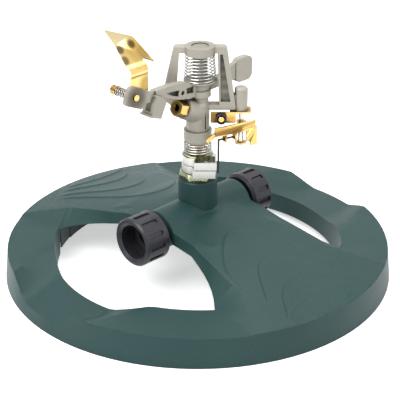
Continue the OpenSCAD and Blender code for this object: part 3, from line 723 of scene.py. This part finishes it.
@dataclass
class GroundBase:
    """The moulded shell, the tee in it and what fastens them."""

    shell_round: float = 1.0
    shell_steps: int = 3
    tee_round: float = 0.4
    cradle_round: float = 0.5
    screw_round: float = 0.2
    gasket_round: float = 0.2
    # radius and height at the top and at the foot of a lobe
    crown: tuple[float, float] = (25.0, 53.0)
    rim: tuple[float, float] = (150.0, 23.6)
    # half width of a lobe at the pipe; where each flare of its edge starts, and its slope
    lobe_half: float = 42.0
    flares: tuple[tuple[float, float], ...] = ((38.0, 0.15), (97.0, 0.48))
    # where the pattern starts inside each border of a lobe, and over what width
    side_margin: tuple[float, float] = (1.6, 5.0)
    rim_margin: tuple[float, float] = (147.6, 4.0)
    pipe_margin: tuple[float, float] = (32.0, 6.0)
    level_gap: float = 1.2
    upward: float = 0.6
    finest: float = 1.5
    cutting_rounds: int = 20
    leaves: tuple[LeafStep, ...] = (
        LeafStep(((-51, -103), (-48, -92), (-43, -74), (-33, -60), (-18, -47), (-4, -43.5),
                  (10, -48.5), (18, -61), (25, -79), (31, -98), (38, -116), (44, -127))),
        LeafStep(((-44, -118), (-37, -106), (-29, -94), (-19, -83.5), (-7, -80), (6, -84),
                  (15, -94), (23, -108), (33, -123), (40, -131))),
        LeafStep(((-46, -139), (-37, -127), (-27, -115), (-15, -109), (-2, -111), (9, -118),
                  (21, -128), (32, -135))),
        LeafStep(((-44, -139), (-35, -133), (-20, -129.5), (-2, -131), (12, -135), (22, -140)),
                 rise=0.7),
    )

    def lobe_height(self, radius: np.ndarray) -> np.ndarray:
        """Height of the plain lobe at a distance from the riser.

        Args:
            radius: distances from the riser's axis.

        Returns:
            The height at each.
        """
        share = np.clip((self.rim[0] - radius) / (self.rim[0] - self.crown[0]), None, 1)
        return self.rim[1] + (self.crown[1] - self.rim[1]) * share

    def on_lobe(self, spots: np.ndarray) -> np.ndarray:
        """How far each spot is inside a lobe's upper face, from zero to one.

        Args:
            spots: points in space, one row each.

        Returns:
            The share of the pattern at each point.
        """
        across, out = np.abs(spots[:, 0]), np.abs(spots[:, 1])
        radius = np.hypot(across, out)
        edge = self.lobe_half + sum(slope * np.clip(out - start, 0, None)
                                    for start, slope in self.flares)
        level = np.abs(spots[:, 2] - self.lobe_height(radius)) < self.level_gap
        return (level * smooth_step((edge - across - self.side_margin[0]) / self.side_margin[1])
                * smooth_step((self.rim_margin[0] - radius) / self.rim_margin[1])
                * smooth_step((out - self.pipe_margin[0]) / self.pipe_margin[1]))

    def cut_finely(self, form: bmesh.types.BMesh) -> None:
        """Cut the lobes' upper faces into small triangles.

        Args:
            form: the shell's mesh.
        """
        for _ in range(self.cutting_rounds):
            form.normal_update()
            form.faces.ensure_lookup_table()
            spots = np.array([f.calc_center_median() for f in form.faces]) / MM
            upward = np.array([f.normal.z for f in form.faces]) > self.upward
            chosen = [form.faces[i] for i in np.flatnonzero((self.on_lobe(spots) > 0) & upward)]
            many_sided = [f for f in chosen if len(f.verts) > 3]
            if many_sided:
                bmesh.ops.triangulate(form, faces=many_sided)
                continue
            long_edges = list({e for f in chosen for e in f.edges
                               if e.calc_length() > self.finest * MM})
            if not long_edges:
                break
            bmesh.ops.subdivide_edges(form, edges=long_edges, cuts=1)

    def carve(self, shell: bpy.types.Object) -> None:
        """Step the leaf pattern into both lobes.

        Args:
            shell: the shell's piece.
        """
        form = bmesh.new()
        form.from_mesh(shell.data)
        self.cut_finely(form)
        form.normal_update()
        form.verts.ensure_lookup_table()
        spots = np.array([v.co for v in form.verts]) / MM
        upward = np.array([v.normal.z for v in form.verts]) > self.upward
        weight = self.on_lobe(spots) * upward
        rows = np.flatnonzero(weight > 0)
        plan = spots[rows, :2] * np.where(spots[rows, 1:2] > 0, -1.0, 1.0)
        lift = sum(leaf.lift(plan) for leaf in self.leaves) * weight[rows]
        for row, rise in zip(rows, lift):
            form.verts[row].co.z += float(rise) * MM
        bmesh.ops.triangulate(form, faces=[f for f in form.faces if len(f.verts) > 4])
        form.to_mesh(shell.data)
        form.free()

    def build(self, shop: Workshop) -> None:
        """Build and dress the pieces of the base.

        Args:
            shop: the workshop that dresses each piece.
        """
        shell = merged_copy("base_shell", "ground_shell")
        soften(shell, self.shell_round, self.shell_steps)
        self.carve(shell)
        shop.dress(shell, "base_shell")
        shop.refine("water_tee", "tee_and_riser", self.tee_round)
        shop.refine("tee_cradle", "cradle_under_tee", self.cradle_round)
        shop.refine("cradle_screw_a", "cradle_screw_front", self.screw_round)
        shop.refine("cradle_screw_b", "cradle_screw_back", self.screw_round)
        shop.refine("riser_gasket", "gasket_on_riser", self.gasket_round)


@dataclass
class HoseEnds:
    """The swivel nut at the inlet and the cap at the outlet."""

    grip_round: float = 0.35
    retainer_round: float = 0.2
    hose_seal_round: float = 0.3
    cap_seal_round: float = 0.2

    def build(self, shop: Workshop) -> None:
        """Build and dress both couplings.

        Args:
            shop: the workshop that dresses each piece.
        """
        shop.refine("inlet_nut", "swivel_nut", self.grip_round)
        shop.refine("inlet_ferrule", "nut_retainer", self.retainer_round)
        shop.refine("inlet_washer", "hose_washer", self.hose_seal_round)
        shop.refine("outlet_cap", "end_cap", self.grip_round)
        shop.refine("cap_washer", "washer_in_cap", self.cap_seal_round)


@dataclass
class Bearing:
    """Nipple, sleeve, spring and the two stop collars."""

    nipple_round: float = 0.35
    thrust_round: float = 0.1
    sleeve_round: float = 0.2
    collar_round: float = 0.25

    def build(self, shop: Workshop) -> None:
        """Build and dress the bearing stack.

        Args:
            shop: the workshop that dresses each piece.
        """
        shop.refine("bearing_nipple", "hex_nipple", self.nipple_round)
        shop.refine("thrust_washer", "thrust_ring", self.thrust_round)
        shop.refine("bearing_sleeve", "turning_sleeve", self.sleeve_round)
        shop.refine("collar_lower", "lower_stop_collar", self.collar_round)
        shop.refine("collar_upper", "upper_stop_collar", self.collar_round)
        shop.refine("bearing_spring", "seat_spring", NO_ROUNDING)


@dataclass
class Head:
    """The casting with its bridge, the nozzle and the fulcrum."""

    cast_round: float = 0.5
    cast_steps: int = 3
    jet_round: float = 0.3
    pin_round: float = 0.2
    washer_round: float = 0.1

    def build(self, shop: Workshop) -> None:
        """Build and dress the head.

        Args:
            shop: the workshop that dresses each piece.
        """
        shop.refine("head_body", "head_casting", self.cast_round, self.cast_steps)
        shop.refine("nozzle", "jet_nozzle", self.jet_round, finish="jet")
        shop.refine("fulcrum_pin", "arm_pin", self.pin_round)
        shop.refine("arm_washer", "washer_under_arm", self.washer_round)


@dataclass
class ImpactArm:
    """The swinging arm, its spring and the deflector on its tip."""

    cast_round: float = 0.5
    cast_steps: int = 3
    sleeve_round: float = 0.2
    sheet_round: float = 0.15
    screw_round: float = 0.2
    nut_round: float = 0.15

    def build(self, shop: Workshop) -> None:
        """Build and dress the arm.

        Args:
            shop: the workshop that dresses each piece.
        """
        shop.refine("swing_arm", "impact_arm", self.cast_round, self.cast_steps)
        shop.refine("arm_bushing", "arm_sleeve", self.sleeve_round)
        shop.refine("arm_spring", "arm_return_spring", NO_ROUNDING)
        shop.refine("deflector_flap", "deflector_sheet", self.sheet_round, finish="sheet")
        shop.refine("flap_screw", "clamp_screw", self.screw_round)
        shop.refine("flap_spring", "clamp_spring", NO_ROUNDING)
        shop.refine("flap_nut", "clamp_nut", self.nut_round)


@dataclass
class ReversingTrip:
    """The trip lever with its bracket, pin and stop wire."""

    sheet_round: float = 0.2
    pin_round: float = 0.2
    clip_round: float = 0.1
    spacer_round: float = 0.1
    disc_round: float = 0.2

    def build(self, shop: Workshop) -> None:
        """Build and dress the trip.

        Args:
            shop: the workshop that dresses each piece.
        """
        shop.refine("trip_bracket", "trip_plate", self.sheet_round)
        shop.refine("trip_spring", "trip_coil", NO_ROUNDING, finish="blackened")
        shop.refine("trip_pin", "trip_post", self.pin_round)
        shop.refine("trip_clip", "post_clip", self.clip_round)
        shop.refine("trip_lever", "trip_rocker", self.sheet_round)
        shop.refine("trip_spacer", "post_spacer", self.spacer_round)
        shop.refine("trip_disc", "post_disc", self.disc_round)
        shop.refine("trip_wire", "stop_wire_drop", NO_ROUNDING)


# ---------- the studio, distances in metres ----------


@dataclass(frozen=True)
class Lamp:
    """A soft square lamp that looks at the head.

    It stands so many degrees right of the camera's side and above the floor, and has its
    distance and its side in metres and its power in watts.
    """

    name: str
    around: float
    rise: float
    away: float
    side: float
    power: float


@dataclass(frozen=True)
class DarkZone:
    """An unlit part of the room that the metal reflects, in degrees.

    It is full inside the inner half angle, gone past the outer one, and leaves a share of
    the light.
    """

    around: float
    rise: float
    outer: float
    inner: float
    light_left: float


@dataclass
class Studio:
    """Camera, lamps, room and floor."""

    focal_px: float = 1243.3
    distance: float = 1.0
    elevation: float = 28.895
    azimuth: float = -44.0
    centre_px: tuple[float, float] = (197.76, 263.41)
    image_px: float = 400.0
    sensor: float = 36.0
    clip: tuple[float, float] = (0.05, 50.0)
    lamp_target: Spot = (0.0, 0.0, 0.08)
    lamps: tuple[Lamp, ...] = (
        Lamp("key_lamp", -48, 48, 1.6, 0.9, 17),
        Lamp("fill_lamp", 55, 35, 1.8, 1.2, 9),
        Lamp("top_lamp", 150, 72, 1.7, 1.1, 12))
    dark_zones: tuple[DarkZone, ...] = (
        DarkZone(12, 22, 52, 22, 0.5), DarkZone(-84, 4, 38, 14, 0.22))
    room_light: float = 0.42
    floor_half: float = 12.0
    floor_drop: float = 0.0002
    floor_tone: float = 0.86
    floor_rough: float = 0.9
    floor_gloss: float = 0.1
    floor_glow: float = 0.55

    def towards(self, around: float, rise: float) -> Vector:
        """A direction seen from the head.

        Args:
            around: degrees to the right of the camera's side.
            rise: degrees above the floor.

        Returns:
            The unit vector.
        """
        angle, tilt = math.radians(self.azimuth - 90 + around), math.radians(rise)
        return Vector((math.cos(tilt) * math.cos(angle), math.cos(tilt) * math.sin(angle),
                       math.sin(tilt)))

    def stand_camera(self) -> None:
        """Stand the camera where the photograph was taken from."""
        data = bpy.data.cameras.new("photo_camera")
        data.sensor_width = self.sensor
        data.lens = self.focal_px / self.image_px * self.sensor
        data.shift_x = 0.5 - self.centre_px[0] / self.image_px
        data.shift_y = self.centre_px[1] / self.image_px - 0.5
        data.clip_start, data.clip_end = self.clip
        rise = math.radians(self.elevation)
        front = Vector((0, -self.distance * math.cos(rise), self.distance * math.sin(rise)))
        place = Matrix.Rotation(math.radians(self.azimuth), 3, "Z") @ front
        lens = bpy.data.objects.new("photo_camera", data)
        lens.location = place
        lens.rotation_euler = (-place).to_track_quat("-Z", "Y").to_euler()
        bpy.context.scene.collection.objects.link(lens)
        bpy.context.scene.camera = lens

    def hang(self, lamp: Lamp) -> None:
        """Hang one lamp.

        Args:
            lamp: the lamp's place, size and power.
        """
        data = bpy.data.lights.new(lamp.name, "AREA")
        data.size = lamp.side
        data.energy = lamp.power
        light = bpy.data.objects.new(lamp.name, data)
        light.location = lamp.away * self.towards(lamp.around, lamp.rise)
        aim = Vector(self.lamp_target) - light.location
        light.rotation_euler = aim.to_track_quat("-Z", "Y").to_euler()
        bpy.context.scene.collection.objects.link(light)

    def seen_white(self, tree: Tree) -> Socket:
        """A factor that is one for rays that look at the backdrop, also in metal and glass.

        Args:
            tree: the node tree to work in.

        Returns:
            The socket that holds the factor.
        """
        path = tree.nodes.new("ShaderNodeLightPath").outputs
        seen = combine(tree, "MAXIMUM", path["Is Camera Ray"], path["Is Glossy Ray"])
        return combine(tree, "MAXIMUM", seen, path["Is Transmission Ray"])

    def dim_zones(self, tree: Tree) -> Socket:
        """A factor that darkens reflections of the unlit parts of the room.

        Args:
            tree: the world's node tree.

        Returns:
            The socket that holds the factor.
        """
        glossy = tree.nodes.new("ShaderNodeLightPath").outputs["Is Glossy Ray"]
        way = tree.nodes.new("ShaderNodeTexCoord").outputs["Generated"]
        left: Feed = 1.0
        for zone in self.dark_zones:
            facing = combine_vectors(tree, "DOT_PRODUCT", way,
                                     self.towards(zone.around, zone.rise), "Value")
            dimmed = spread(tree, facing, math.cos(math.radians(zone.outer)),
                            math.cos(math.radians(zone.inner)), 1.0, zone.light_left, soft=True)
            left = combine(tree, "MULTIPLY", left, dimmed)
        return blend(tree, Blend.VALUES, glossy, 1.0, left)

    def light_room(self) -> None:
        """Make the room white where it is looked at, and dimmer as a light."""
        world = bpy.data.worlds.new("white_room")
        bpy.context.scene.world = world
        world.use_nodes = True
        tree = world.node_tree
        back = tree.nodes["Background"]
        level = spread(tree, self.seen_white(tree), low=self.room_light)
        feed(tree, back.inputs["Strength"],
             combine(tree, "MULTIPLY", level, self.dim_zones(tree)))
        back.inputs["Color"].default_value = WHITE

    def lay_floor(self) -> None:
        """Lay a pale floor that keeps the shadow."""
        half, level = self.floor_half, -self.floor_drop
        mesh = bpy.data.meshes.new("pale_floor")
        mesh.from_pydata([(-half, -half, level), (half, -half, level), (half, half, level),
                          (-half, half, level)], [], [(0, 1, 2, 3)])
        floor = bpy.data.objects.new("pale_floor", mesh)
        bpy.context.scene.collection.objects.link(floor)
        material = bpy.data.materials.new("pale_floor")
        material.use_nodes = True
        tree = material.node_tree
        shader = tree.nodes["Principled BSDF"]
        shader.inputs["Base Color"].default_value = (*[self.floor_tone] * 3, 1.0)
        shader.inputs["Roughness"].default_value = self.floor_rough
        shader.inputs["Specular IOR Level"].default_value = self.floor_gloss
        shader.inputs["Emission Color"].default_value = WHITE
        feed(tree, shader.inputs["Emission Strength"],
             spread(tree, self.seen_white(tree), high=self.floor_glow))
        floor.data.materials.append(material)

    def build(self) -> None:
        """Set up the whole studio."""
        self.stand_camera()
        for lamp in self.lamps:
            self.hang(lamp)
        self.light_room()
        self.lay_floor()
        bpy.context.scene.view_settings.view_transform = "Standard"


def main() -> None:
    """Build the sprinkler's pieces in order, then the studio."""
    shop = Workshop()
    for assembly in (GroundBase(), HoseEnds(), Bearing(), Head(), ImpactArm(), ReversingTrip()):
        log.info("building %s", type(assembly).__name__)
        assembly.build(shop)
    Studio().build()


if __name__ == "__main__":
    main()
